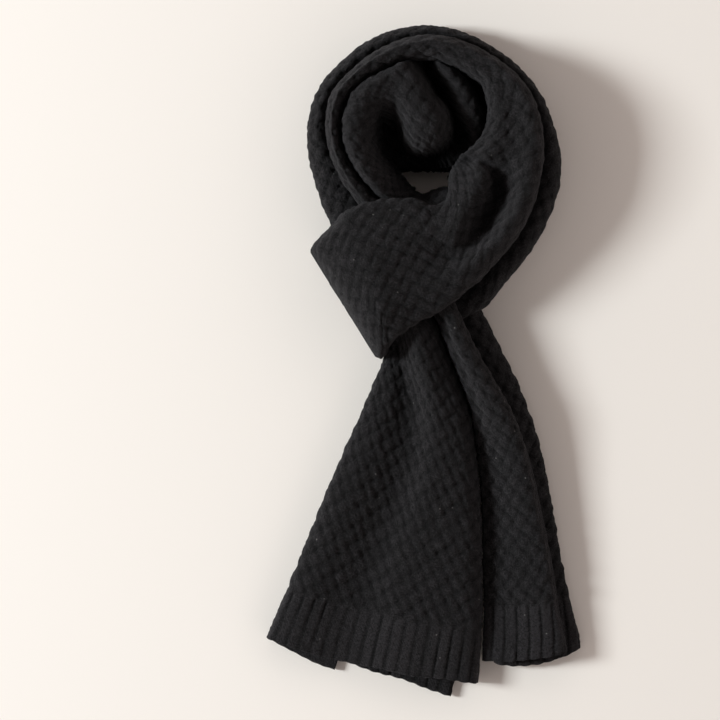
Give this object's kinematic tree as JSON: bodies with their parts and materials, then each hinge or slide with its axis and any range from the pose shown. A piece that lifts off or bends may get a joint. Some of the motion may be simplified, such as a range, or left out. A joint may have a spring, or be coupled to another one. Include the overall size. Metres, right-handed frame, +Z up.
{
  "type": "knit scarf",
  "caption": "Dark knit scarf laid flat, doubled and looped: a round neck loop, a folded band across the front and two tails with ribbed ends.",
  "frame": {"origin": "under the middle of the outline, on the surface that the scarf lies on", "axes": "+Y from the ribbed ends to the back of the neck loop, +X to the right as seen from above with the neck loop up, +Z up off the surface"},
  "size_m": [0.267, 0.5669, 0.0531],
  "materials": {
    "knit_cloth": "matte felted wool in a woven basket cable knit with ribbed ends, near black with a slight cool tone"
  },
  "bodies": {
    "root": {"ring_lower": "knit_cloth", "ring_upper": "knit_cloth", "ring_inner": "knit_cloth", "ring_fold": "knit_cloth", "knot_band": "knit_cloth", "knot_core": "knit_cloth", "tail_front": "knit_cloth", "tail_front_under_left": "knit_cloth", "tail_front_under_right": "knit_cloth", "tail_back": "knit_cloth", "tail_back_under": "knit_cloth"}
  },
  "joints": []
}
